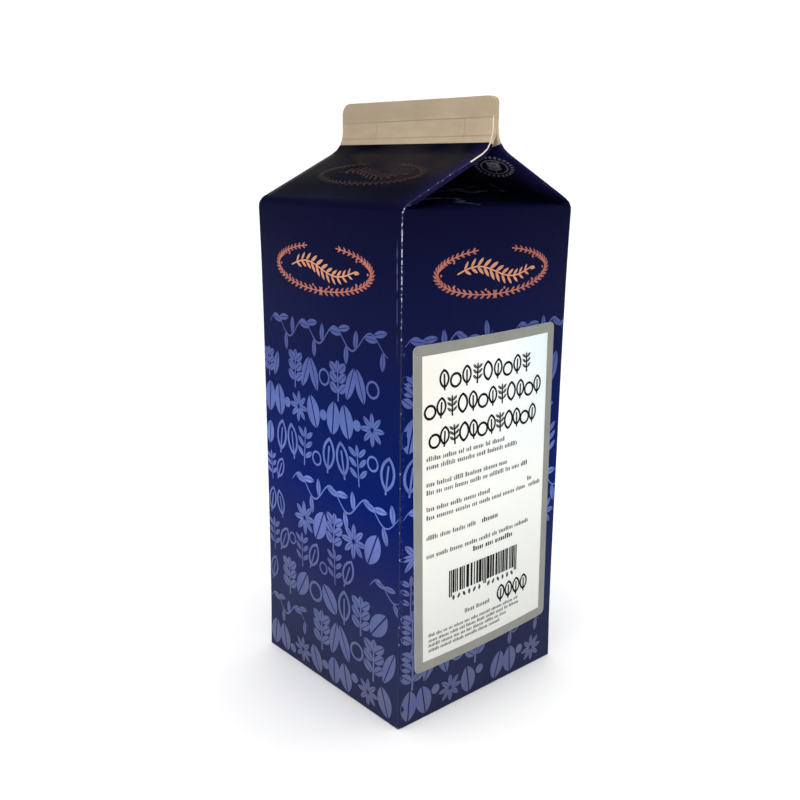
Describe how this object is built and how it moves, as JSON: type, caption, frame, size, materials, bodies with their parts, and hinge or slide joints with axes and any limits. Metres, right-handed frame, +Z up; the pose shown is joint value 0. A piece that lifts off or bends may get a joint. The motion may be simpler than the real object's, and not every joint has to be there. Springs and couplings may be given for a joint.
{
  "type": "gable-top carton of dried bay leaves",
  "caption": "Tall square gable-top carton of coated, printed paperboard with a sealed top fin, folded-in gable ends and a paper label, filled with dried bay leaves.",
  "frame": {"origin": "on the ground, under the middle of the carton", "axes": "+Z up, -Y towards the labelled front, +X to the right of someone who looks at the front; the top fin runs along Y"},
  "size_m": [0.0986, 0.0991, 0.252],
  "materials": {
    "printed_board": "gloss",
    "raw_board": "satin",
    "label_paper": "satin",
    "bay_leaf": "matte",
    "pale_ink": "gloss",
    "copper_ink": "gloss",
    "grey_ink": "satin",
    "black_ink": "matte"
  },
  "bodies": {
    "root": {"front_panel": "printed_board", "right_panel": "printed_board", "back_panel": "printed_board", "left_panel": "printed_board", "side_seam_flap": "raw_board", "left_roof": "printed_board", "right_roof": "printed_board", "front_gable_triangle": "printed_board", "front_foldback_left": "printed_board", "front_foldback_right": "printed_board", "back_gable_triangle": "printed_board", "back_foldback_left": "printed_board", "back_foldback_right": "printed_board", "fin_outer_left": "raw_board", "fin_outer_right": "raw_board", "fin_inner_front": "raw_board", "fin_inner_back": "raw_board", "bottom_outer_flap": "printed_board", "bottom_inner_flap": "printed_board", "bottom_left_tuck": "raw_board", "bottom_right_tuck": "raw_board", "label": "label_paper", "bay_leaves": "bay_leaf"}
  },
  "joints": []
}
